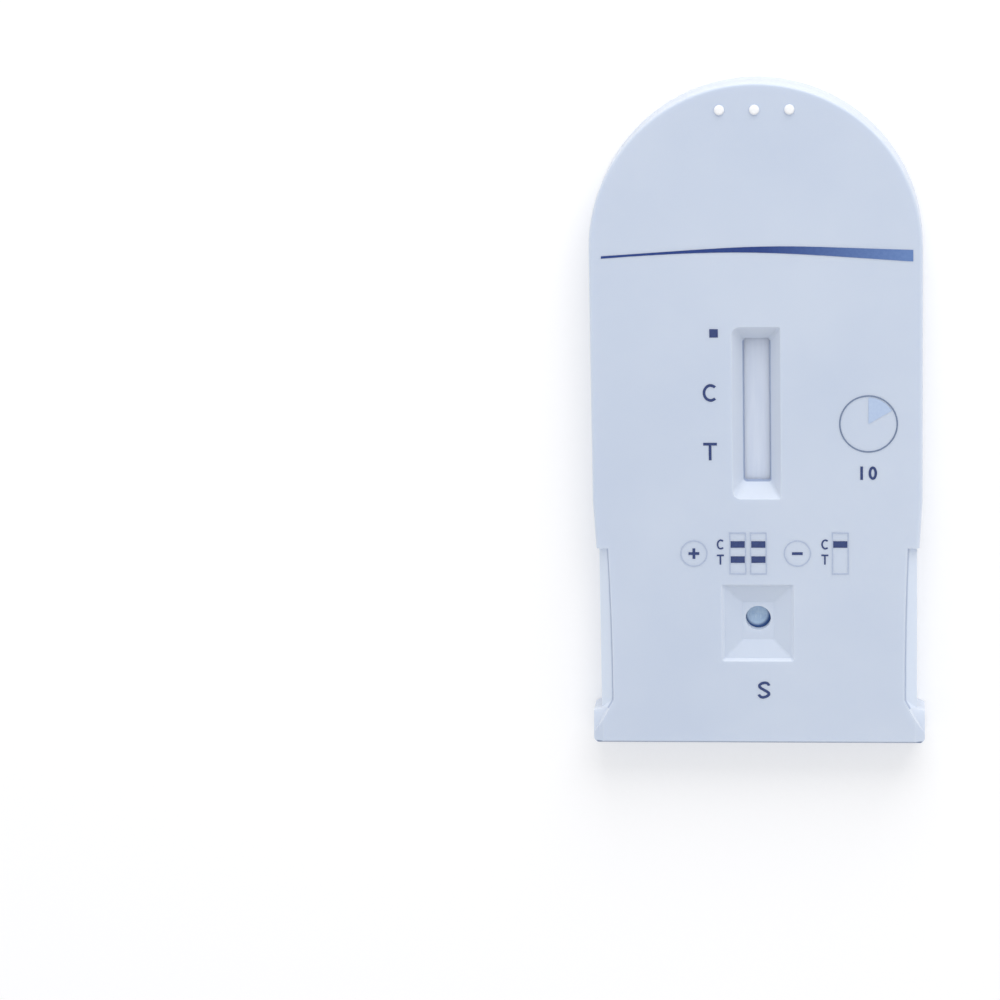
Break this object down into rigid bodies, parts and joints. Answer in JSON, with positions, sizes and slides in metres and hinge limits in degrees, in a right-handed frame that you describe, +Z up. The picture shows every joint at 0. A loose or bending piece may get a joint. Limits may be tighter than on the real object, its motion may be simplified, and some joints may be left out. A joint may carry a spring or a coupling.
{
  "type": "lateral flow cassette",
  "caption": "Lateral flow test cassette with an arched end, grip scoops, a sample well and a result window over a porous test strip.",
  "frame": {"origin": "on the table under the middle of the cassette's bounding box", "axes": "+Y along the cassette to its arched end, +X to the right across it, +Z up out of the printed face"},
  "size_m": [0.0356, 0.0714, 0.0055],
  "materials": {
    "shell_plastic": "satin moulded, pale grey-blue",
    "card_plastic": "smooth white card",
    "membrane_film": "fine porous film",
    "pad_fibre": "fine pressed fibre",
    "ink_divider": "printed ink, navy to mid blue",
    "ink_navy": "printed ink, navy",
    "ink_line": "printed ink, thin grey-blue line",
    "ink_pale": "printed ink, pale blue"
  },
  "bodies": {
    "root": {"bottom_shell": "shell_plastic", "top_shell": "shell_plastic", "backing_card": "card_plastic", "membrane": "membrane_film", "conjugate_pad": "pad_fibre", "sample_pad": "pad_fibre", "absorbent_pad": "pad_fibre", "print_divider": "ink_divider", "print_line_letters": "ink_navy", "print_timer_ring": "ink_line", "print_timer_sector": "ink_pale", "print_timer_number": "ink_navy", "print_key_outlines": "ink_line", "print_key_marks": "ink_navy", "print_sample_letter": "ink_navy"}
  },
  "joints": []
}
